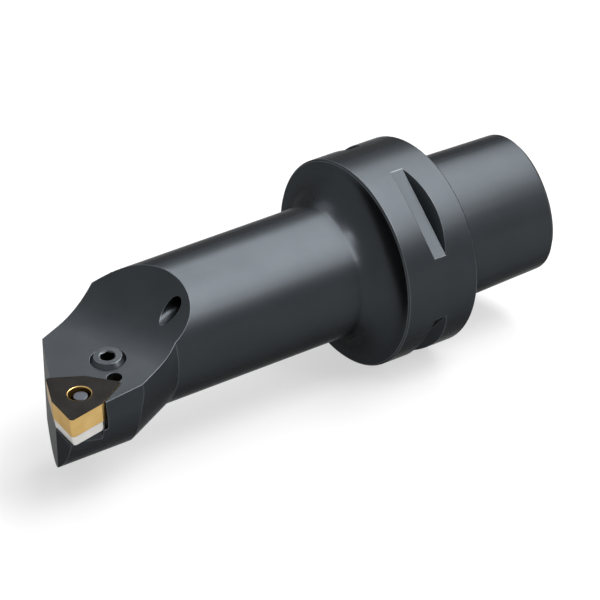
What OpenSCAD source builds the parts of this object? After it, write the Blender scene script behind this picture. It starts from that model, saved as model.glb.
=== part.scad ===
// Right-hand boring bar for trigon inserts, clamped by a lever, on a tapered polygon shank.
// X runs along the bar from the shank to the cutting head, Y points to the side that cuts,
// Z points up from the cutting face. The origin is the centre of the flange's contact face.

/* [Polygon shank] */
// Mean diameter of the polygon at the contact face
shank_d = 35; // [32:0.5:38]
// How far the polygon's lobes stand out from a circle
shank_lobe = 1.1; // [0.7:0.1:1.4]
// Length of the shank behind the contact face
shank_l = 30; // [26:1:36]
// Loss of diameter for each millimetre of length
shank_taper = 0.05; // [0.03:0.005:0.07]
// Chamfer round the end of the shank
shank_chamfer = 1.2; // [0.4:0.1:1.6]

/* [Shank bore] */
// Bore that the clamping segments enter
grip_bore_d = 21; // [18:0.5:22]
// Depth of that bore from the end of the shank
grip_bore_depth = 18; // [14:1:20]
// Diameter of the groove that the segments grip
grip_groove_d = 24; // [23:0.25:25]
// Distance of the groove from the end of the shank
grip_groove_at = 5; // [4:0.5:7]
// Width of the groove's floor
grip_groove_w = 4; // [3:0.5:6]
// Core diameter of the draw bolt's thread
bolt_bore_d = 14.5; // [12:0.25:16]
// Depth of the draw bolt's thread beyond the grip bore
bolt_bore_depth = 20; // [16:1:24]

/* [Flange] */
// Diameter of the flange
flange_d = 50; // [46:1:56]
// Length of the flange
flange_l = 20; // [16:0.5:24]
// Chamfer on the flange's two rims
flange_chamfer = 0.4; // [0.2:0.1:1]
// Depth of the gripper grooves below the rim
groove_depth = 2.7; // [2:0.1:3.5]
// Width of the flat floor of a gripper groove
groove_floor = 3.2; // [2:0.1:4]
// Distance of the groove's middle from the contact face
groove_at = 10; // [8:0.5:11]
// Slope of the groove's two walls from the radial direction
groove_wall_angle = 30; // [20:1:40]

/* [Bar] */
// Diameter of the bar
bar_d = 32; // [28:1:36]
// Radius of the fillet where the bar meets the flange
bar_fillet = 7; // [3:0.5:8]

/* [Head] */
// Distance from the contact face to the cutting nose
nose_x = 110; // [100:1:140]
// Distance from the bar's axis to the cutting nose
nose_y = 22; // [21:0.25:24]
// Diameter of the head, round its own centre
head_d = 37; // [36.2:0.2:38]
// Distance of the head's centre from the bar's axis, towards the cutting side
head_offset = 2.9; // [2.4:0.1:3.2]
// Distance of the head's centre below the bar's axis
head_drop = 0.8; // [0:0.1:1]
// Length from the nose back to the cone that joins bar and head
head_l = 32.5; // [28:0.5:36]
// Slope of that cone
head_cone_angle = 22; // [18:1:30]
// How far the front face lies behind the cutting edge
front_relief = 0.6; // [0.3:0.1:1.2]
// Width of the front face that follows the cutting edge
front_face_w = 8.8; // [7:0.2:10]
// Angle of the slanted face beside it, from the Y direction
front_slant_angle = 27; // [22:0.5:32]
// Distance from the bar's axis to the far corner of the head
far_corner_y = -6.9; // [-8.9:0.2:-4.9]
// Angle of the flat on the far side, from the X direction
far_flat_angle = 17.5; // [15:0.5:22]
// Distance from the bar's axis to the flat on the cutting side
side_flat_y = 21.2; // [21:0.1:21.5]

/* [Chip clearance] */
// How far the floor beside the insert lies below the insert's top
floor_drop = 0.2; // [0.1:0.05:0.5]
// Radius of the sweep from that floor up to the bar
sweep_r = 24.5; // [20:0.5:28]
// Distance from the nose back to the start of the sweep
sweep_start = 25.6; // [23.6:0.2:27]
// Turn of the sweep from the Y direction
sweep_turn = 17; // [12:1:22]

/* [Insert pocket] */
// Distance from the nose back to the end of the pocket's wall on the cutting side
wall_back = 9.6; // [8.6:0.2:11]
// Diameter of the relief hole at the corner farthest back
relief_d = 3.4; // [2.6:0.2:3.8]
// Distance from the nose back to that hole
relief_back = 16.2; // [16:0.1:16.6]
// Distance from the nose to that hole, across the bar
relief_in = 6.9; // [6.6:0.1:7.2]
// How far the flat under the cutting edge reaches below the seat
flank_reach = 5; // [3:0.5:7]
// Distance from the nose back to the end of that flat
flank_back = 7.8; // [7.4:0.2:9]
// How far that flat lies inside the shim's edge
flank_inset = 0.4; // [0.2:0.1:0.6]

/* [Insert] */
// Circle that the insert's sides touch
insert_ic = 12.7; // [12:0.1:13.5]
// Thickness of the insert
insert_t = 4.76; // [4:0.01:5.5]
// Radius of the cutting corners
insert_corner_r = 0.8; // [0.4:0.1:1.2]
// Hole through the insert
insert_hole_d = 5.16; // [5:0.01:5.5]
// Chamfer at both ends of that hole
insert_hole_chamfer = 0.15; // [0.1:0.05:0.5]
// Clearance of each cutting edge from the X and Y directions
edge_angle = 5; // [2:1:8]
// Forward tilt of the insert
rake_angle = 6; // [4:1:8]
// Sideways tilt of the insert
incline_angle = 6; // [4:1:8]

/* [Shim and its pin] */
// Thickness of the shim
shim_t = 2.6; // [2:0.1:3.2]
// How far the shim's sides lie inside the insert's
shim_inset = 0.35; // [0.2:0.05:0.6]
// Outer diameter of the split pin that holds the shim
shim_pin_d = 6.2; // [5.8:0.1:6.6]
// Wall of the split pin
shim_pin_wall = 0.6; // [0.4:0.05:0.7]
// How far the pin reaches below the shim
shim_pin_reach = 1.2; // [0.8:0.1:1.4]
// Width of the slit along the pin
shim_pin_slit = 0.8; // [0.5:0.1:1.2]

/* [Lever] */
// Diameter of the lever's upright
lever_upright_d = 3.6; // [3.2:0.1:3.8]
// Diameter of the bulge that bears on the insert's hole
lever_bulge_d = 4.4; // [4.2:0.1:4.6]
// Diameter of the upright's flat top
lever_top_d = 3.2; // [2.8:0.1:3.4]
// How far that top lies below the insert's top
lever_top_drop = 0.8; // [0.4:0.1:1.2]
// How far the clamped lever leans on the hole, from its centre
lever_pull = 0.33; // [0.2:0.01:0.36]
// Width of the lever's arm
lever_arm_w = 5.6; // [5.2:0.1:5.6]
// Thickness of the lever's arm
lever_arm_t = 3; // [2.5:0.1:3.4]
// Depth of the arm's top below the shim's underside
lever_arm_drop = 2; // [1.8:0.1:2.4]
// Tip of the fork beyond the screw's axis
lever_fork_tip = 1.3; // [0.8:0.1:1.5]

/* [Lever screw] */
// Distance from the insert's hole to the screw
screw_reach = 13.6; // [13:0.1:14.5]
// Direction from the insert's hole to the screw, from the X direction
screw_direction = 208; // [204:1:212]
// Outer diameter of the screw's thread
screw_d = 8; // [7.6:0.1:8.4]
// Height of the screw's top above the insert's top
screw_rise = 0.8; // [0.2:0.1:1]
// Chamfer round the screw's top
screw_chamfer = 0.8; // [0.5:0.1:1.1]
// Height of that chamfer
screw_chamfer_h = 1.1; // [0.6:0.1:1.4]
// Width across the flats of the hexagon socket
screw_key = 3; // [2.5:0.5:4]
// Depth of the hexagon socket
screw_key_depth = 4.5; // [3:0.5:5]
// Diameter of the neck that the lever's fork straddles
screw_neck_d = 3.2; // [2.8:0.1:3.4]
// Diameter of the button below the neck
screw_button_d = 6.2; // [5.8:0.1:6.2]
// Thickness of the button
screw_button_t = 2; // [1.5:0.1:2.3]
// Travel of the screw from clamped to released
screw_travel = 1; // [0.6:0.1:1]

/* [Coolant] */
// Diameter of the outlet in the swept face
outlet_d = 3.5; // [3.4:0.1:4]
// Distance of the outlet hole's bend from the contact face
outlet_bend_x = 68; // [64:0.5:69]
// Distance of that bend from the bar's axis, towards the cutting side
outlet_bend_y = 7.2; // [6.6:0.1:7.6]
// Height of that bend above the bar's axis
outlet_bend_z = 10.9; // [10.3:0.1:11.3]
// Slope of the outlet down from the bend, for each millimetre along the bar
outlet_fall = 0.24; // [0.16:0.02:0.3]
// Slope of the outlet towards the cutting side, for each millimetre along the bar
outlet_side = 0.2; // [0.1:0.02:0.3]
// Diameter of the channel that feeds the outlet
feed_d = 3; // [2.5:0.1:3]

/* [Fits] */
// Running clearance of the screw in its bore, on the radius
screw_fit = 0.05; // [0.02:0.01:0.1]
// Clearance of the split pin in its bores, on the radius
pin_fit = 0.02; // [0.01:0.01:0.05]
// Clearance of the pocket's back walls from insert and shim
pocket_fit = 0.03; // [0.01:0.01:0.1]
// Clearance of the lever's fork round the neck, on the radius
fork_fit = 0.3; // [0.25:0.05:0.4]
// Clearance between the fork and the screw's shoulder above it
shoulder_fit = 0.15; // [0.15:0.05:0.3]
// Clearance between the fork and the screw's button, which lets the lever tilt
button_fit = 0.3; // [0.3:0.05:0.4]
// Clearance of the lever's arm in its slot
slot_fit = 0.3; // [0.2:0.05:0.4]

/* [Hidden] */
$fn = 96;
tiny = 0.01;
reach = 60;
// Half angle of a drill's point
drill_half = 59;

black_oxide = "#2b2f33";
bright_carbide = "#b9bbbd";
coated_carbide = "#3b3a38";
spring_steel = "#8b8f93";

shank_end_x = -shank_l;
grip_end_x = shank_end_x + grip_bore_depth;
bolt_end_x = grip_end_x + bolt_bore_depth;
head_start_x = nose_x - head_l;

// Levels below the insert's top, square to the seat
shim_top = -insert_t;
seat_level = -insert_t - shim_t;
arm_top = seat_level - lever_arm_drop;
arm_bottom = arm_top - lever_arm_t;
pivot_level = arm_top - lever_arm_t / 2;
pin_bottom = seat_level - shim_pin_reach;
screw_shoulder = arm_top + shoulder_fit;
button_top = arm_bottom - button_fit;
button_bottom = button_top - screw_button_t;

// Trigon: corners of 80 and 160 degrees by turns, each side touching the inscribed circle
corner_half = 40;
obtuse_half = 80;
// The insert's centre lies on the bisector of its nose
hole_xy = -insert_corner_r - (insert_ic / 2 - insert_corner_r) / sin(corner_half) * cos(45);
screw_xy = [hole_xy + screw_reach * cos(screw_direction), hole_xy + screw_reach * sin(screw_direction)];
lever_reach = screw_reach - lever_pull;

// Puts children in the seat's frame: its origin is the nose, its Z is square to the insert's top
module at_seat()
    translate([nose_x, nose_y, 0])
        rotate([-incline_angle, rake_angle, 0])
            children();

// Puts children on the axis of the insert's hole
module at_hole()
    at_seat() translate([hole_xy, hole_xy, 0]) children();

// Puts children on the clamped lever's upright, with X pointing to the screw
module at_lever()
    at_hole() rotate([0, 0, screw_direction]) translate([lever_pull, 0, 0]) children();

// Puts children on the screw's axis
module at_screw()
    at_seat() translate([screw_xy[0], screw_xy[1], 0]) children();

// Turns a shape that stands on Z so that it lies along the bar
module along_bar()
    rotate([0, 90, 0]) children();

// Outline of the polygon shank: a hypotrochoid with three lobes, one of them pointing up
function polygon_point(a, d, e) = [
    d / 2 * cos(a) - e * cos(2 * a) + e / 2 * cos(4 * a),
    d / 2 * sin(a) + e * sin(2 * a) + e / 2 * sin(4 * a)
];

module polygon_outline(d)
    polygon([for (a = [0 : 4 : 356]) polygon_point(a, d, shank_lobe)]);

// Tapered piece of the shank, standing on its larger end
module shank_piece(length, d, end_d)
    linear_extrude(height = length, scale = end_d / d) polygon_outline(d);

module polygon_shank() {
    plain_l = shank_l - shank_chamfer;
    plain_end_d = shank_d - shank_taper * plain_l;
    rotate([0, -90, 0]) rotate([0, 0, 180]) {
        translate([0, 0, -tiny]) shank_piece(plain_l + 2 * tiny, shank_d, plain_end_d);
        translate([0, 0, plain_l]) shank_piece(shank_chamfer, plain_end_d, plain_end_d - 2 * shank_chamfer);
    }
}

// Bore with its grip groove, the draw bolt's thread bore, and the point the drill leaves
module shank_bore() {
    groove_h = (grip_groove_d - grip_bore_d) / 2;
    mouth = 0.6;
    translate([shank_end_x, 0, 0]) along_bar() {
        translate([0, 0, -1]) cylinder(h = grip_bore_depth + 1, d = grip_bore_d);
        translate([0, 0, -tiny]) cylinder(h = mouth, d1 = grip_bore_d + 2 * mouth, d2 = grip_bore_d);
        rotate_extrude()
            polygon([
                [0, grip_groove_at - groove_h], [grip_bore_d / 2, grip_groove_at - groove_h],
                [grip_groove_d / 2, grip_groove_at], [grip_groove_d / 2, grip_groove_at + grip_groove_w],
                [grip_bore_d / 2, grip_groove_at + grip_groove_w + groove_h],
                [0, grip_groove_at + grip_groove_w + groove_h]
            ]);
        translate([0, 0, grip_bore_depth - tiny]) cylinder(h = bolt_bore_depth, d = bolt_bore_d);
        translate([0, 0, grip_bore_depth + bolt_bore_depth - 2 * tiny])
            cylinder(h = bolt_bore_d / 2 / tan(drill_half), d1 = bolt_bore_d, d2 = 0);
    }
}

// Straight hole from one point to another
module drilled(from, to, d) {
    v = to - from;
    turn = atan2(v[1], v[0]);
    lean = atan2(norm([v[0], v[1]]), v[2]);
    translate(from) rotate([0, lean, turn]) cylinder(h = norm(v), d = d);
}

// Channel from the thread bore to the outlet in the swept face
module coolant() {
    bend = [outlet_bend_x, outlet_bend_y, outlet_bend_z];
    way = [1, outlet_side, -outlet_fall];
    drilled([bolt_end_x - 1, 0, 0], bend, feed_d);
    drilled(bend - 1.5 * way, bend + 20 * way, outlet_d);
}

// Gripper groove with sloping walls, straight across the rim
module gripper_groove() {
    floor_r = flange_d / 2 - groove_depth;
    top_r = flange_d / 2 + 1;
    flare = (top_r - floor_r) * tan(groove_wall_angle);
    translate([groove_at, flange_d / 2, 0]) rotate([90, 0, 0])
        linear_extrude(height = flange_d)
            polygon([
                [-groove_floor / 2, floor_r], [groove_floor / 2, floor_r],
                [groove_floor / 2 + flare, top_r], [-groove_floor / 2 - flare, top_r]
            ]);
}

module flange() {
    difference() {
        along_bar() rotate_extrude()
            polygon([
                [0, 0], [flange_d / 2 - flange_chamfer, 0], [flange_d / 2, flange_chamfer],
                [flange_d / 2, flange_l - flange_chamfer], [flange_d / 2 - flange_chamfer, flange_l],
                [0, flange_l]
            ]);
        for (turn = [45 : 90 : 315]) rotate([turn, 0, 0]) gripper_groove();
    }
}

// Hollow fillet that leads from the bar into the flange's front face
module root_fillet() {
    along_bar() translate([0, 0, flange_l]) rotate_extrude()
        difference() {
            square([bar_d / 2 + bar_fillet, bar_fillet]);
            translate([bar_d / 2 + bar_fillet, bar_fillet]) circle(r = bar_fillet);
        }
}

module bar() {
    translate([flange_l - tiny, 0, 0]) along_bar() cylinder(h = nose_x - flange_l, d = bar_d);
}

// The head is round about a centre of its own, and grows from the bar by a cone
module head_blank() {
    grown_r = head_d / 2 + head_offset + head_drop;
    cone_l = (grown_r - bar_d / 2) / tan(head_cone_angle);
    intersection() {
        translate([head_start_x, head_offset, -head_drop]) along_bar() cylinder(h = head_l + 1, d = head_d);
        translate([head_start_x, 0, 0]) along_bar() rotate_extrude()
            polygon([[0, 0], [bar_d / 2, 0], [grown_r, cone_l], [grown_r, head_l + 1], [0, head_l + 1]]);
    }
}

// Front face along the cutting edge, the slanted face beside it, and the flats on the far side
// and on the cutting side
module head_trim() {
    front_y = nose_y - front_face_w;
    front_x = nose_x - front_relief - front_face_w * tan(edge_angle);
    far_x = front_x - (front_y - far_corner_y) * tan(front_slant_angle);
    translate([nose_x - front_relief, nose_y, 0]) rotate([0, 0, -edge_angle])
        translate([0, -reach, -reach]) cube([reach, 2 * reach, 2 * reach]);
    translate([front_x, front_y, 0]) rotate([0, 0, -front_slant_angle])
        translate([0, -reach, -reach]) cube([reach, 2 * reach, 2 * reach]);
    translate([far_x, far_corner_y, 0]) rotate([0, 0, far_flat_angle])
        translate([-reach, -reach, -reach]) cube([2 * reach, reach, 2 * reach]);
    translate([head_start_x, side_flat_y, -reach]) cube([reach, reach, 2 * reach]);
}

// Floor beside the insert and the round sweep that lifts it to the bar's surface
module chip_clearance() {
    at_seat() translate([0, 0, -floor_drop]) rotate([0, 0, sweep_turn]) translate([-sweep_start, 0, 0]) {
        translate([0, 0, sweep_r]) rotate([90, 0, 0])
            translate([0, 0, -reach]) cylinder(h = 2 * reach, r = sweep_r, $fn = 240);
        translate([0, -reach, 0]) cube([reach, 2 * reach, reach]);
        translate([-sweep_r, -reach, sweep_r]) cube([sweep_r + tiny, 2 * reach, reach]);
    }
}

// Points round one 80 degree corner
function trigon_corner(ic, r, turn) = [
    for (a = [corner_half - 90 : 5 : 90 - corner_half])
        (ic / 2 - r) / sin(corner_half) * [cos(turn), sin(turn)] + r * [cos(turn + a), sin(turn + a)]
];

// Outline with its nose turned to the origin's front and cutting side
module trigon(ic, r) {
    obtuse_at = ic / 2 / sin(obtuse_half);
    polygon([for (turn = [45 : 120 : 285]) each concat(
        trigon_corner(ic, r, turn),
        [obtuse_at * [cos(turn + 60), sin(turn + 60)]]
    )]);
}

// Space for shim and insert, open to the front and to the cutting side, with the flat that
// clears the body under the cutting edge
module pocket() {
    // Ends of the opening in front of the side that follows the slanted face
    side_in = insert_ic / 2 - 1.5 * insert_corner_r;
    side_end = (insert_ic / 2 - insert_corner_r) / tan(corner_half) + insert_corner_r / 2;
    at_seat() translate([0, 0, seat_level]) {
        translate([hole_xy, hole_xy, 0]) {
            linear_extrude(height = reach) trigon(insert_ic + 2 * pocket_fit, insert_corner_r);
            rotate([0, 0, -edge_angle - 20]) translate([side_in, -side_end, 0]) cube([reach, reach, reach]);
        }
        translate([-wall_back, hole_xy, 0]) cube([reach, reach, reach]);
        translate([-relief_back, -relief_in, 0]) cylinder(h = reach, d = relief_d);
        translate([hole_xy, hole_xy, -flank_reach]) rotate([0, 0, edge_angle])
            translate([-flank_back - hole_xy, insert_ic / 2 - shim_inset - flank_inset, 0])
                cube([reach, reach, flank_reach + tiny]);
    }
}

// Bore of the shim's pin, the lever's cavity below the seat, and the screw's bore
module clamp_bores() {
    cavity_top = arm_top + screw_travel + slot_fit;
    cavity_bottom = arm_bottom - slot_fit;
    cavity_w = lever_arm_w + 2 * slot_fit;
    cavity_back = lever_upright_d / 2 + slot_fit;
    screw_bottom = button_bottom - slot_fit;
    at_hole() translate([0, 0, pin_bottom]) cylinder(h = -pin_bottom, d = shim_pin_d + 2 * pin_fit);
    at_lever() translate([-cavity_back, -cavity_w / 2, cavity_bottom])
        cube([cavity_back + lever_reach, cavity_w, cavity_top - cavity_bottom]);
    at_screw() {
        translate([0, 0, screw_bottom]) cylinder(h = reach, d = screw_d + 2 * screw_fit);
        translate([0, 0, screw_bottom - screw_d / 2 / tan(drill_half)])
            cylinder(h = screw_d / 2 / tan(drill_half) + tiny, d1 = 0, d2 = screw_d);
    }
}

module bar_body() {
    color(black_oxide) difference() {
        union() {
            polygon_shank();
            flange();
            root_fillet();
            bar();
            head_blank();
        }
        head_trim();
        chip_clearance();
        pocket();
        clamp_bores();
        coolant();
        shank_bore();
    }
}

module insert() {
    rim_r = insert_hole_d / 2 + insert_hole_chamfer;
    color(coated_carbide) at_hole() translate([0, 0, -insert_t]) difference() {
        linear_extrude(height = insert_t) trigon(insert_ic, insert_corner_r);
        rotate_extrude()
            polygon([
                [0, -1], [rim_r, -1], [rim_r, 0], [insert_hole_d / 2, insert_hole_chamfer],
                [insert_hole_d / 2, insert_t - insert_hole_chamfer], [rim_r, insert_t],
                [rim_r, insert_t + 1], [0, insert_t + 1]
            ]);
    }
}

module shim() {
    color(bright_carbide) at_hole() translate([0, 0, seat_level]) difference() {
        linear_extrude(height = shim_t) trigon(insert_ic - 2 * shim_inset, insert_corner_r);
        translate([0, 0, -1]) cylinder(h = shim_t + 2, d = shim_pin_d + 2 * pin_fit);
    }
}

// Tube split along its length, so that it springs into its bores
module shim_pin() {
    pin_top = shim_top - tiny;
    color(spring_steel) at_hole() translate([0, 0, pin_bottom]) difference() {
        cylinder(h = pin_top - pin_bottom, d = shim_pin_d);
        translate([0, 0, -1]) cylinder(h = pin_top - pin_bottom + 2, d = shim_pin_d - 2 * shim_pin_wall);
        rotate([0, 0, 45]) translate([0, -shim_pin_slit / 2, -1])
            cube([shim_pin_d, shim_pin_slit, pin_top - pin_bottom + 2]);
    }
}

// Upright with a bulge for the insert's hole, rounded heel, and an arm that ends in a fork
module lever() {
    fork_w = screw_neck_d + 2 * fork_fit;
    arm_end = lever_reach + lever_fork_tip;
    bulge_low = -insert_t + 1.6;
    bulge_high = -insert_t / 2 + 0.4;
    color(spring_steel) at_lever() {
        rotate_extrude()
            polygon([
                [0, pivot_level], [lever_upright_d / 2, pivot_level], [lever_upright_d / 2, shim_top],
                [lever_bulge_d / 2, bulge_low], [lever_bulge_d / 2, bulge_high],
                [lever_top_d / 2, -lever_top_drop], [0, -lever_top_drop]
            ]);
        translate([0, lever_arm_w / 2, pivot_level]) rotate([90, 0, 0])
            cylinder(h = lever_arm_w, d = lever_arm_t);
        difference() {
            translate([0, -lever_arm_w / 2, arm_bottom]) cube([arm_end, lever_arm_w, lever_arm_t]);
            translate([lever_reach, 0, arm_bottom - 1]) cylinder(h = lever_arm_t + 2, d = fork_w);
            translate([lever_reach, -fork_w / 2, arm_bottom - 1]) cube([reach, fork_w, lever_arm_t + 2]);
        }
    }
}

// Threaded head with a socket, the neck that the fork straddles, and the button below it
module lever_screw() {
    top_d = screw_d - 2 * screw_chamfer;
    color(black_oxide) at_screw() difference() {
        rotate_extrude()
            polygon([
                [0, button_bottom], [screw_button_d / 2 - 0.3, button_bottom],
                [screw_button_d / 2, button_bottom + 0.3], [screw_button_d / 2, button_top],
                [screw_neck_d / 2, button_top], [screw_neck_d / 2, screw_shoulder],
                [screw_d / 2 - 0.5, screw_shoulder], [screw_d / 2, screw_shoulder + 0.5],
                [screw_d / 2, screw_rise - screw_chamfer_h], [top_d / 2, screw_rise], [0, screw_rise]
            ]);
        translate([0, 0, screw_rise - screw_key_depth])
            cylinder(h = screw_key_depth + 1, d = screw_key / cos(30), $fn = 6);
        translate([0, 0, screw_rise - 0.2])
            cylinder(h = 0.2 + tiny, d1 = screw_key, d2 = screw_key / cos(30) + 0.4);
    }
}

bar_body();
insert();
shim();
shim_pin();
lever();
lever_screw();
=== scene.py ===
"""Looks of a boring bar with a tapered polygon shank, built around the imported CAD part."""

import logging
import math
from dataclasses import dataclass
from enum import Enum
from typing import Callable

import bpy
from mathutils import Matrix, Vector


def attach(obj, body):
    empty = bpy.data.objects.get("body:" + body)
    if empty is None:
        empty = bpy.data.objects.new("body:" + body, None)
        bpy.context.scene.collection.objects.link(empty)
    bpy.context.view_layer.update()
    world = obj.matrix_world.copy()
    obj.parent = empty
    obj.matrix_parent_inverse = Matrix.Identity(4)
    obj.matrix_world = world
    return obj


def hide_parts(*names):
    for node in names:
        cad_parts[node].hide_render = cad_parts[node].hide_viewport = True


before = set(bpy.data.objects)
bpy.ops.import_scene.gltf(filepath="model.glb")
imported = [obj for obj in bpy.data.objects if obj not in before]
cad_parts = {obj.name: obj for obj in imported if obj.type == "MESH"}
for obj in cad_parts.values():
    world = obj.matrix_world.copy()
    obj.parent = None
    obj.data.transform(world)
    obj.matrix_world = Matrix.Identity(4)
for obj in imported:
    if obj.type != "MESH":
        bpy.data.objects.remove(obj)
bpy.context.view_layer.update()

log = logging.getLogger("boring_bar")
logging.basicConfig(level=logging.INFO, format="%(name)s: %(message)s")

MM = 0.001
# Points closer than this are one point.
WELD_MM = 0.001
# How far a seam's points lie from its plane, and how far apart its two rings are, at most.
SEAM_REACH_MM = 0.05
SEAM_WELD_MM = 0.08
# Triangles that differ by less than this make one flat face.
FLAT_DEG = 0.1
# Facets of a curved face turn by less than this, and real edges by more.
REAL_EDGE_DEG = 16.0
# Edges that turn by more than this stay sharp once the bevels are on.
SHARP_EDGE_DEG = 44.0
# How far a point may lie from a thread's wall, or from a groove's root, to belong to it.
WALL_MM = 0.12
ROOT_MM = 0.02
# Faces of a thread's wall have normals with less than this along the thread.
WALL_SLOPE = 0.2
# Half of a thread's groove at the wall, as a share of the pitch.
GROOVE_HALF = 0.4
# Blender's band wave runs through this many radians for each unit of length at scale 1.
WAVE_RADIANS = 20.0
# Values of a noise texture between which a colour, or a gloss, goes from one end to the other.
COLOUR_SPAN = (0.35, 0.65)
GLOSS_SPAN = (0.3, 0.7)


class Tooling(Enum):
    """How a surface was cut, which sets the marks that it carries."""

    TURNED = "turned"
    MILLED = "milled"
    GROUND = "ground"


def linear(hex_colour: str) -> tuple[float, float, float, float]:
    """Turn an sRGB hex colour into a linear one.

    Args:
        hex_colour: Six hex digits after a hash.

    Returns:
        The linear red, green and blue, with an alpha of 1.
    """
    parts = [int(hex_colour[i:i + 2], 16) / 255 for i in (1, 3, 5)]
    red, green, blue = (c / 12.92 if c <= 0.04045 else ((c + 0.055) / 1.055) ** 2.4 for c in parts)
    return (red, green, blue, 1.0)


def per_metre(spacing_mm: float) -> float:
    """Noise scale at which a pattern in object metres repeats about every spacing_mm."""
    return 1 / (spacing_mm * MM)


def add_node(
    tree: bpy.types.NodeTree,
    kind: str,
    settings: dict[str, object] | None = None,
    inputs: dict[str, object] | None = None,
) -> bpy.types.Node:
    """Add a shader node, set its options and fill or link its inputs.

    Args:
        tree: Node tree that takes the node.
        kind: Blender's type name of the node.
        settings: Properties of the node by name.
        inputs: Values or output sockets by input name, or by the input's number as a string.

    Returns:
        The new node.
    """
    node = tree.nodes.new(kind)
    for name, value in (settings or {}).items():
        setattr(node, name, value)
    for name, value in (inputs or {}).items():
        socket = node.inputs[int(name)] if name.isdigit() else node.inputs[name]
        if isinstance(value, bpy.types.NodeSocket):
            tree.links.new(value, socket)
        else:
            socket.default_value = value
    return node


def ramp(
    tree: bpy.types.NodeTree, source: bpy.types.NodeSocket, low: str, high: str
) -> bpy.types.Node:
    """Blend two sRGB hex colours by a value that runs over COLOUR_SPAN.

    Args:
        tree: Node tree that takes the node.
        source: The value to blend by.
        low: Colour at the low end.
        high: Colour at the high end.

    Returns:
        The colour ramp node.
    """
    node = add_node(tree, "ShaderNodeValToRGB", inputs={"Fac": source})
    for element, place, colour in zip(node.color_ramp.elements, COLOUR_SPAN, (low, high)):
        element.position = place
        element.color = linear(colour)
    return node


def new_material(name: str) -> tuple[bpy.types.Material, bpy.types.NodeTree, bpy.types.Node]:
    """Make an empty node material.

    Args:
        name: Name of the finish.

    Returns:
        The material, its node tree and its output node.
    """
    material = bpy.data.materials.new(name)
    material.use_nodes = True
    tree = material.node_tree
    tree.nodes.clear()
    return material, tree, add_node(tree, "ShaderNodeOutputMaterial")


@dataclass(frozen=True)
class MetalFinish:
    """A metal surface: its colour, how it was cut and how rough that left it.

    mark_mm is the spacing at which its tool marks are drawn, and mark_depth_mm their depth.
    """

    name: str
    dark: str
    light: str
    roughness: float
    metallic: float = 1.0
    edge_tint: float = 0.5
    tooling: Tooling = Tooling.GROUND
    mark_mm: float = 0.5
    mark_depth_mm: float = 0.002
    cloud_mm: float = 9.0
    grain_mm: float = 0.5
    roughness_spread: float = 0.02

    def marks(self, tree: bpy.types.NodeTree, coords: bpy.types.NodeSocket) -> bpy.types.NodeSocket:
        """Height of the tool marks: rings for turning, streaks for the others.

        Args:
            tree: Node tree that takes the nodes.
            coords: Object coordinates in metres.

        Returns:
            A socket with a height between 0 and 1.
        """
        if self.tooling is Tooling.TURNED:
            wave = add_node(
                tree, "ShaderNodeTexWave", {"wave_type": "BANDS", "bands_direction": "X"},
                {"Vector": coords, "Scale": math.tau * per_metre(self.mark_mm) / WAVE_RADIANS,
                 "Distortion": 0.6, "Detail": 2.0, "Detail Scale": 2.0},
            )
            return wave.outputs["Fac"]
        stretch = {
            Tooling.MILLED: (1.0, 0.12, 0.4),
            Tooling.GROUND: (1.0, 0.05, 0.05),
        }[self.tooling]
        mapping = add_node(
            tree, "ShaderNodeMapping", inputs={"Vector": coords, "Scale": stretch}
        )
        noise = add_node(
            tree, "ShaderNodeTexNoise", {"noise_dimensions": "3D"},
            {"Vector": mapping.outputs[0], "Scale": per_metre(self.mark_mm),
             "Detail": 3.0, "Roughness": 0.6},
        )
        return noise.outputs["Fac"]

    def build(self) -> bpy.types.Material:
        """Make the material with its mottled colour, uneven gloss and tool marks.

        Returns:
            The material, named for its finish.
        """
        material, tree, output = new_material(self.name)
        coords = add_node(tree, "ShaderNodeTexCoord").outputs["Object"]
        clouds = add_node(
            tree, "ShaderNodeTexNoise",
            inputs={"Vector": coords, "Scale": per_metre(self.cloud_mm), "Detail": 3.0},
        )
        grain = add_node(
            tree, "ShaderNodeTexNoise",
            inputs={"Vector": coords, "Scale": per_metre(self.grain_mm), "Detail": 2.0},
        )
        colour = ramp(tree, clouds.outputs["Fac"], self.dark, self.light)
        gloss = add_node(
            tree, "ShaderNodeMapRange",
            inputs={"Value": grain.outputs["Fac"],
                    "From Min": GLOSS_SPAN[0], "From Max": GLOSS_SPAN[1],
                    "To Min": self.roughness - self.roughness_spread,
                    "To Max": self.roughness + self.roughness_spread},
        )
        bump = add_node(
            tree, "ShaderNodeBump",
            inputs={"Height": self.marks(tree, coords), "Strength": 1.0,
                    "Distance": self.mark_depth_mm * MM},
        )
        shader = add_node(
            tree, "ShaderNodeBsdfPrincipled",
            inputs={"Base Color": colour.outputs["Color"], "Roughness": gloss.outputs[0],
                    "Metallic": self.metallic, "Specular Tint": (self.edge_tint,) * 3 + (1.0,),
                    "Normal": bump.outputs[0]},
        )
        tree.links.new(shader.outputs[0], output.inputs["Surface"])
        return material


# Black oxide on hardened steel: a thin dark skin, a shade to the blue, that stays satin, so that
# only a broad lamp draws a soft light band on it. The skin isn't all metal: at 0.85 it keeps a
# little plain grey between the bands, and the low edge tint holds back its glare at a slant.
# The rings are drawn 5 mm apart and very shallow, as a faint unevenness along the bar. A lathe
# leaves them 0.1 to 0.2 mm apart.
OXIDE_TURNED = MetalFinish(
    "black_oxide_turned_steel", "#2F3235", "#313437", 0.32, metallic=0.85, edge_tint=0.3,
    tooling=Tooling.TURNED, mark_mm=5.0265, mark_depth_mm=0.0016,
)
# The same skin over milled faces, a little less glossy. The cutter's marks are drawn as faint
# streaks across the bar.
OXIDE_MILLED = MetalFinish(
    "black_oxide_milled_steel", "#2F3235", "#323538", 0.37, metallic=0.85, edge_tint=0.3,
    tooling=Tooling.MILLED, mark_mm=1.2, mark_depth_mm=0.0020,
)
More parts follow.
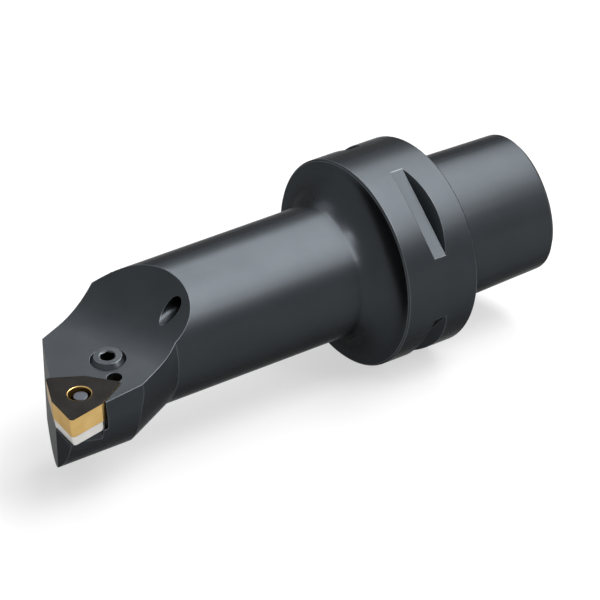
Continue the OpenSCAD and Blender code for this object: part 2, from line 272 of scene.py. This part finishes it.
# The same skin over ground faces, a little smoother, with rings half as deep. They are drawn
# 3.1 mm apart. Real grinding lines are about 0.05 mm apart and wouldn't show.
OXIDE_GROUND = MetalFinish(
    "black_oxide_ground_steel", "#2F3235", "#313437", 0.31, metallic=0.85, edge_tint=0.3,
    tooling=Tooling.TURNED, mark_mm=3.1416, mark_depth_mm=0.0008,
)
# The chamfer at the shank's end carries painted shade: a near-black colour, darker than the bar's
# own oxide, so that it shows as a dark rim around the shank's end.
END_CHAMFER_PAINTED_SHADE = MetalFinish(
    "end_chamfer_painted_shade", "#121315", "#151618", 0.40, metallic=0.7, edge_tint=0.0,
)
# Edges where handling has rubbed the oxide thin, greyer and smoother, and partly painted
# highlight: the fine bevels are drawn lighter than the oxide, as a fine light line along each edge.
EDGE_WEAR_AND_HIGHLIGHT = MetalFinish("edge_wear_and_painted_highlight", "#44474A", "#4E5154", 0.30, cloud_mm=4.0)
# Black alumina coating on the insert's two faces: charcoal, satin and even.
INSERT_FACE = MetalFinish(
    "alumina_coated_carbide", "#1F1E1D", "#242322", 0.36,
    cloud_mm=5.0, grain_mm=0.3, edge_tint=0.35,
)
# Gold titanium nitride on the insert's sides and in its hole: warm, with fine grinding lines.
INSERT_GOLD = MetalFinish(
    "gold_nitride_coated_carbide", "#BA9A60", "#C4A56C", 0.33,
    cloud_mm=4.0, grain_mm=0.3, mark_mm=0.25, mark_depth_mm=0.001,
)
# Bare carbide ground all over: pale warm grey with a low sheen.
SHIM_GROUND = MetalFinish(
    "ground_bare_carbide", "#C2C0BC", "#CDCBC8", 0.38,
    cloud_mm=4.0, grain_mm=0.3, mark_mm=0.3, mark_depth_mm=0.001,
)
# Spring steel, tempered and tumbled: dark grey with a soft sheen.
SPRING_TUMBLED = MetalFinish(
    "tumbled_spring_steel", "#3C3E43", "#44474C", 0.30,
    cloud_mm=3.0, grain_mm=0.3, mark_mm=0.4, mark_depth_mm=0.001,
)
# Screw steel with black oxide, worn a little by the key: as the bar, a shade lighter.
SCREW_OXIDE = MetalFinish(
    "black_oxide_screw_steel", "#333639", "#3A3D40", 0.30,
    cloud_mm=3.0, grain_mm=0.3, mark_mm=0.4, mark_depth_mm=0.0006,
)


def deselect_all() -> None:
    """Leave edit mode and deselect every object."""
    if bpy.context.mode != "OBJECT":
        bpy.ops.object.mode_set(mode="OBJECT")
    bpy.ops.object.select_all(action="DESELECT")


def make_active(piece: bpy.types.Object) -> None:
    """Select only this object and make it the active one.

    Args:
        piece: The object.
    """
    deselect_all()
    piece.select_set(True)
    bpy.context.view_layer.objects.active = piece


def apply_modifier(piece: bpy.types.Object, kind: str, **settings: object) -> None:
    """Add a modifier and apply it.

    Args:
        piece: Object that takes it.
        kind: Blender's type name of the modifier.
        settings: Its properties by name.
    """
    make_active(piece)
    modifier = piece.modifiers.new(kind.lower(), kind)
    for name, value in settings.items():
        setattr(modifier, name, value)
    bpy.ops.object.modifier_apply(modifier=modifier.name)


def copy_node(node: str, name: str, seam_x: float | None = None) -> bpy.types.Object:
    """Copy a CAD node's mesh and weld its loose triangles into a closed skin.

    Args:
        node: Name of the CAD node.
        name: Name of the new piece.
        seam_x: Where a seam of two rings of points, a hair apart, is closed, in millimetres.

    Returns:
        The new object at the origin.
    """
    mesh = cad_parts[node].data.copy()
    mesh.materials.clear()
    piece = bpy.data.objects.new(name, mesh)
    bpy.context.scene.collection.objects.link(piece)
    make_active(piece)
    bpy.ops.mesh.customdata_custom_splitnormals_clear()
    bpy.ops.object.mode_set(mode="EDIT")
    bpy.ops.mesh.select_all(action="SELECT")
    bpy.ops.mesh.remove_doubles(threshold=WELD_MM * MM)
    if seam_x is not None:
        bpy.ops.mesh.select_all(action="DESELECT")
        bpy.ops.object.mode_set(mode="OBJECT")
        for vertex in mesh.vertices:
            vertex.select = abs(vertex.co.x / MM - seam_x) < SEAM_REACH_MM
        bpy.ops.object.mode_set(mode="EDIT")
        bpy.ops.mesh.remove_doubles(threshold=SEAM_WELD_MM * MM)
        bpy.ops.mesh.select_all(action="SELECT")
    bpy.ops.mesh.dissolve_limited(angle_limit=math.radians(FLAT_DEG))
    bpy.ops.object.mode_set(mode="OBJECT")
    return piece


def break_edges(piece: bpy.types.Object, width_mm: float, segments: int = 3) -> None:
    """Round every real edge by a fine bevel that takes the piece's last material.

    Args:
        piece: Object with its materials in place.
        width_mm: Width of the bevel.
        segments: Faces across the bevel.
    """
    apply_modifier(
        piece, "BEVEL", width=width_mm * MM, segments=segments, limit_method="ANGLE",
        angle_limit=math.radians(REAL_EDGE_DEG), material=len(piece.data.materials) - 1,
        use_clamp_overlap=False, loop_slide=False,
    )


def smooth(piece: bpy.types.Object) -> None:
    """Shade a finished piece smooth, so that its flats stay flat and its fine bevels look round.

    Args:
        piece: The object, with its bevels applied.
    """
    make_active(piece)
    bpy.ops.object.shade_smooth_by_angle(angle=math.radians(SHARP_EDGE_DEG))
    apply_modifier(piece, "WEIGHTED_NORMAL", mode="FACE_AREA", weight=50, keep_sharp=True)


def cut_thread(
    piece: bpy.types.Object,
    start: Vector,
    axis: Vector,
    radius: float,
    length: float,
    pitch: float,
    depth: float,
) -> None:
    """Cut a thread's V grooves, drawn as rings, into a round wall. All sizes are in millimetres.

    Args:
        piece: Object with the wall.
        start: Middle of the thread's first ring.
        axis: Unit vector along the thread.
        radius: Radius of the wall.
        length: Length of the thread.
        pitch: Distance from ring to ring.
        depth: Depth of the grooves.
    """
    def on_wall(point: Vector) -> bool:
        """Whether a point belongs to the wall that takes the thread.

        Args:
            point: A point of the mesh, in metres.

        Returns:
            True on the wall, up to a pitch past either end of the thread.
        """
        away = point / MM - start
        along = away.dot(axis)
        off_wall = abs((away - axis * along).length - radius)
        return off_wall < WALL_MM and -pitch < along < length + pitch

    make_active(piece)
    roots = [pitch * (turn + 0.5) for turn in range(int(length / pitch))]
    for root in roots:
        for side in (-GROOVE_HALF, 0.0, GROOVE_HALF):
            for face in piece.data.polygons:
                face.select = abs(face.normal.dot(axis)) < WALL_SLOPE and all(
                    on_wall(piece.data.vertices[i].co) for i in face.vertices
                )
            bpy.ops.object.mode_set(mode="EDIT")
            cut_at = start + axis * (root + side * pitch)
            bpy.ops.mesh.bisect(plane_co=cut_at * MM, plane_no=axis)
            bpy.ops.object.mode_set(mode="OBJECT")
    deselect_all()
    make_active(piece)
    for vertex in piece.data.vertices:
        along = (vertex.co / MM - start).dot(axis)
        at_root = any(abs(along - root) < ROOT_MM for root in roots)
        vertex.select = on_wall(vertex.co) and at_root
    bpy.ops.object.mode_set(mode="EDIT")
    bpy.ops.transform.shrink_fatten(value=-depth * MM)
    bpy.ops.object.mode_set(mode="OBJECT")


def dress(
    piece: bpy.types.Object,
    finishes: list[MetalFinish],
    pick: Callable[[Vector, Vector], int],
) -> None:
    """Give each face one of the finishes.

    Args:
        piece: Object to dress.
        finishes: The finishes, which become its material slots in this order.
        pick: From a face's middle in millimetres and its normal, gives the slot's number.
    """
    for finish in finishes:
        known = bpy.data.materials.get(finish.name)
        piece.data.materials.append(known or finish.build())
    for face in piece.data.polygons:
        face.material_index = pick(face.center / MM, face.normal)


def place(piece: bpy.types.Object, body: str, slot: str, node: str | None = None) -> None:
    """Fix a finished piece to its body and hide the CAD node that it stands for.

    Args:
        piece: The finished object.
        body: Body that it moves with.
        slot: Not used.
        node: CAD node that it replaces, if any.
    """
    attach(piece, body)
    if node:
        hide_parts(node)
    log.info("%s: %d faces on %s", piece.name, len(piece.data.polygons), body)


def build_plain(
    node: str, finishes: list[MetalFinish], edge_mm: float, body: str, slot: str
) -> None:
    """Make a piece that has one finish all over, and put it in place of its CAD node.

    Args:
        node: Name of the CAD node.
        finishes: The finish, and after it that of the edges where they differ.
        edge_mm: Width of the broken edges.
        body: Body that it moves with.
        slot: The record's material slot.
    """
    piece = copy_node(node, f"{node}_finished")
    dress(piece, finishes, lambda centre, normal: 0)
    break_edges(piece, edge_mm)
    smooth(piece)
    place(piece, body, slot, node)


@dataclass
class BarBody:
    """The one-piece body: polygon shank, flange, bar and head.

    Sizes are in millimetres. What starts with rim or chip tells the faces of the shank's end
    chamfer, or of the chip sweep, by their middle and their normal's part along the bar.
    """

    edge_mm: float = 0.1
    head_start: float = 77.5
    contact_face_x: float = 0.01
    shank_seam_x: float = -28.8
    rim_inner_r: float = 13.0
    rim_normal_x: tuple[float, float] = (-0.95, -0.3)
    chip_start: float = 66.0
    chip_normal_x: float = 0.05
    chip_outer_r: float = 15.8
    thread_start: float = -11.4
    thread_r: float = 7.25
    thread_length: float = 18.0
    thread_pitch: float = 1.5
    thread_depth: float = 0.8

    def finish_of(self, centre: Vector, normal: Vector) -> int:
        """Choose the finish of a face.

        Args:
            centre: The face's middle in millimetres.
            normal: The face's normal.

        Returns:
            0 for turned, 1 for milled, 2 for ground, 3 for the painted shade on the shank's end
            chamfer.
        """
        low, high = self.rim_normal_x
        on_rim = centre.x < self.shank_seam_x and low < normal.x < high
        # The shank's end chamfer takes the painted shade.
        if on_rim and math.hypot(centre.y, centre.z) > self.rim_inner_r:
            return 3
        if centre.x < self.contact_face_x:
            return 2
        return 1 if centre.x > self.head_start or self.on_chip_face(centre, normal) else 0

    def on_chip_face(self, centre: Vector, normal: Vector) -> bool:
        """Whether a face belongs to the sweep that leads chips off the insert."""
        inside = math.hypot(centre.y, centre.z) < self.chip_outer_r
        return centre.x > self.chip_start and normal.x > self.chip_normal_x and inside

    def build(self) -> None:
        """Make the body and put it in place of its CAD node."""
        piece = copy_node("bar_body", "bar_body_finished", self.shank_seam_x)
        finishes = [OXIDE_TURNED, OXIDE_MILLED, OXIDE_GROUND, END_CHAMFER_PAINTED_SHADE, EDGE_WEAR_AND_HIGHLIGHT]
        dress(piece, finishes, self.finish_of)
        # The bevels take the last finish, the edge wear and painted highlight.
        break_edges(piece, self.edge_mm)
        cut_thread(
            piece, Vector((self.thread_start, 0, 0)), Vector((1, 0, 0)),
            self.thread_r, self.thread_length, self.thread_pitch, self.thread_depth,
        )
        smooth(piece)
        place(piece, "bar", "black_oxide_steel", "bar_body")


@dataclass
class PocketStack:
    """What sits in the pocket: the insert, the shim under it and the shim's pin.

    Sizes are in millimetres. The insert's two faces have normals with more than face_normal
    along up, and what is flatter than flat_normal beside its hole keeps the face's finish.
    """

    insert_edge_mm: float = 0.06
    shim_edge_mm: float = 0.08
    pin_edge_mm: float = 0.05
    up: tuple[float, float, float] = (0.10396, 0.10453, 0.98907)
    hole_at: tuple[float, float, float] = (102.96, 14.88, -0.91)
    hole_gold_r: float = 2.85
    face_normal: float = 0.6
    flat_normal: float = 0.95

    def build_insert(self) -> None:
        """Make the insert: dark on its two faces and edges, gold on its sides and in its hole."""
        piece = copy_node("insert", "insert_finished")
        up = Vector(self.up)
        dress(
            piece, [INSERT_GOLD, INSERT_FACE],
            lambda centre, normal: int(abs(normal.dot(up)) > self.face_normal),
        )
        break_edges(piece, self.insert_edge_mm)
        for face in piece.data.polygons:
            away = face.center / MM - Vector(self.hole_at)
            by_hole = (away - up * away.dot(up)).length < self.hole_gold_r
            if by_hole and abs(face.normal.dot(up)) < self.flat_normal:
                face.material_index = 0
        smooth(piece)
        place(piece, "bar", "coated_carbide", "insert")

    def build_shim(self) -> None:
        """Make the shim and the split pin that centres it."""
        build_plain("shim", [SHIM_GROUND], self.shim_edge_mm, "bar", "ground_carbide")
        build_plain("shim_pin", [SPRING_TUMBLED], self.pin_edge_mm, "bar", "spring_steel")

    def build(self) -> None:
        """Make the three pieces in the pocket."""
        self.build_insert()
        self.build_shim()


@dataclass
class LeverClamp:
    """The clamp inside the head: the L-shaped lever and the screw that works it."""

    lever_edge_mm: float = 0.12
    screw_edge_mm: float = 0.08

    def build(self) -> None:
        """Make the lever and its screw."""
        build_plain("lever", [SPRING_TUMBLED], self.lever_edge_mm, "clamp_lever", "spring_steel")
        # The screw's bevels take the edge wear and painted highlight.
        build_plain(
            "lever_screw", [SCREW_OXIDE, EDGE_WEAR_AND_HIGHLIGHT], self.screw_edge_mm,
            "clamp_screw", "screw_steel",
        )


@dataclass
class Softbox:
    """A rectangular studio lamp aimed at the part, with its length across the bar."""

    name: str
    direction: tuple[float, float, float]
    distance: float
    length: float
    width: float
    power: float

    def build(self, target: Vector) -> None:
        """Hang the lamp and turn it to the target.

        Args:
            target: The point that it aims at, in metres.
        """
        data = bpy.data.lights.new(self.name, "AREA")
        data.shape = "RECTANGLE"
        data.size = self.length
        data.size_y = self.width
        data.energy = self.power
        lamp = bpy.data.objects.new(self.name, data)
        bpy.context.scene.collection.objects.link(lamp)
        aim = Vector(self.direction).normalized()
        across = aim.cross(Vector((0, 1, 0))).normalized()
        lamp.location = target + aim * self.distance
        lamp.rotation_euler = Matrix((across.cross(aim), across, aim)).transposed().to_euler()


@dataclass
class Studio:
    """Camera, floor, world and lamps. Places are in metres and turns in degrees."""

    camera_at: tuple[float, float, float] = (0.5163, 0.67587, 0.43609)
    camera_turn: tuple[float, float, float] = (62.014, 1.443, 143.641)
    lens_mm: float = 245.14
    sensor_mm: float = 36.0
    clip_end: float = 50.0
    floor_z: float = -0.0253
    floor_size: float = 12.0
    floor_colour: str = "#949494"
    floor_glow: float = 0.58
    world_level: float = 0.35
    lamps_aim_at: tuple[float, float, float] = (0.04, 0.0, 0.0)

    def build_camera(self) -> None:
        """Set up the camera at the photograph's viewing angle."""
        data = bpy.data.cameras.new("camera")
        data.sensor_width = self.sensor_mm
        data.lens = self.lens_mm
        data.clip_end = self.clip_end
        camera = bpy.data.objects.new("camera", data)
        camera.location = self.camera_at
        camera.rotation_euler = [math.radians(a) for a in self.camera_turn]
        bpy.context.scene.collection.objects.link(camera)
        bpy.context.scene.camera = camera

    def background_ray(self, tree: bpy.types.NodeTree) -> bpy.types.NodeSocket:
        """Tell rays that see the background from those that only carry its light.

        Args:
            tree: Node tree that takes the nodes.

        Returns:
            A socket that is 1 for camera, glossy and transmission rays and 0 for others.
        """
        path = add_node(tree, "ShaderNodeLightPath")
        first = add_node(
            tree, "ShaderNodeMath", {"operation": "MAXIMUM"},
            {"0": path.outputs["Is Camera Ray"], "1": path.outputs["Is Glossy Ray"]},
        )
        both = add_node(
            tree, "ShaderNodeMath", {"operation": "MAXIMUM"},
            {"0": first.outputs[0], "1": path.outputs["Is Transmission Ray"]},
        )
        return both.outputs[0]

    def build_world(self) -> None:
        """Light all round at an even level, with a white background to be seen."""
        world = bpy.data.worlds.new("studio_world")
        world.use_nodes = True
        tree = world.node_tree
        tree.nodes.clear()
        output = add_node(tree, "ShaderNodeOutputWorld")
        light = add_node(
            tree, "ShaderNodeBackground",
            inputs={"Color": (1, 1, 1, 1), "Strength": self.world_level},
        )
        seen = add_node(
            tree, "ShaderNodeBackground", inputs={"Color": (1, 1, 1, 1), "Strength": 1.0}
        )
        mix = add_node(
            tree, "ShaderNodeMixShader",
            inputs={"0": self.background_ray(tree), "1": light.outputs[0], "2": seen.outputs[0]},
        )
        tree.links.new(mix.outputs[0], output.inputs["Surface"])
        bpy.context.scene.world = world

    def build_floor(self) -> None:
        """Lay a grey floor that glows enough to show white and keeps the part's shadow."""
        deselect_all()
        bpy.ops.mesh.primitive_plane_add(size=self.floor_size, location=(0, 0, self.floor_z))
        floor = bpy.context.active_object
        floor.name = "studio_floor"
        material, tree, output = new_material("studio_floor_paint")
        paint = add_node(
            tree, "ShaderNodeBsdfDiffuse", inputs={"Color": linear(self.floor_colour)}
        )
        glow = add_node(
            tree, "ShaderNodeEmission",
            inputs={"Color": (1, 1, 1, 1), "Strength": self.floor_glow},
        )
        both = add_node(
            tree, "ShaderNodeAddShader", inputs={"0": paint.outputs[0], "1": glow.outputs[0]}
        )
        mix = add_node(
            tree, "ShaderNodeMixShader",
            inputs={"0": self.background_ray(tree), "1": paint.outputs[0], "2": both.outputs[0]},
        )
        tree.links.new(mix.outputs[0], output.inputs["Surface"])
        floor.data.materials.append(material)

    def build(self) -> None:
        """Make the studio around the part."""
        self.build_camera()
        self.build_world()
        self.build_floor()
        target = Vector(self.lamps_aim_at)
        lamps = [
            Softbox("overhead_softbox", (-0.54, 0.18, 0.842), 1.0, 2.0, 0.36, 25.0),
            Softbox("far_side_softbox", (-0.354, -0.91, 0.941), 1.36, 0.62, 0.9, 3.0),
            Softbox("front_softbox", (-0.134, 0.44, 1.058), 1.15, 0.45, 0.5, 5.0),
        ]
        for lamp in lamps:
            lamp.build(target)
        view = bpy.context.scene.view_settings
        view.view_transform = "Standard"


def main() -> None:
    """Build the studio and every piece of the part."""
    Studio().build()
    BarBody().build()
    PocketStack().build()
    LeverClamp().build()


if __name__ == "__main__":
    main()
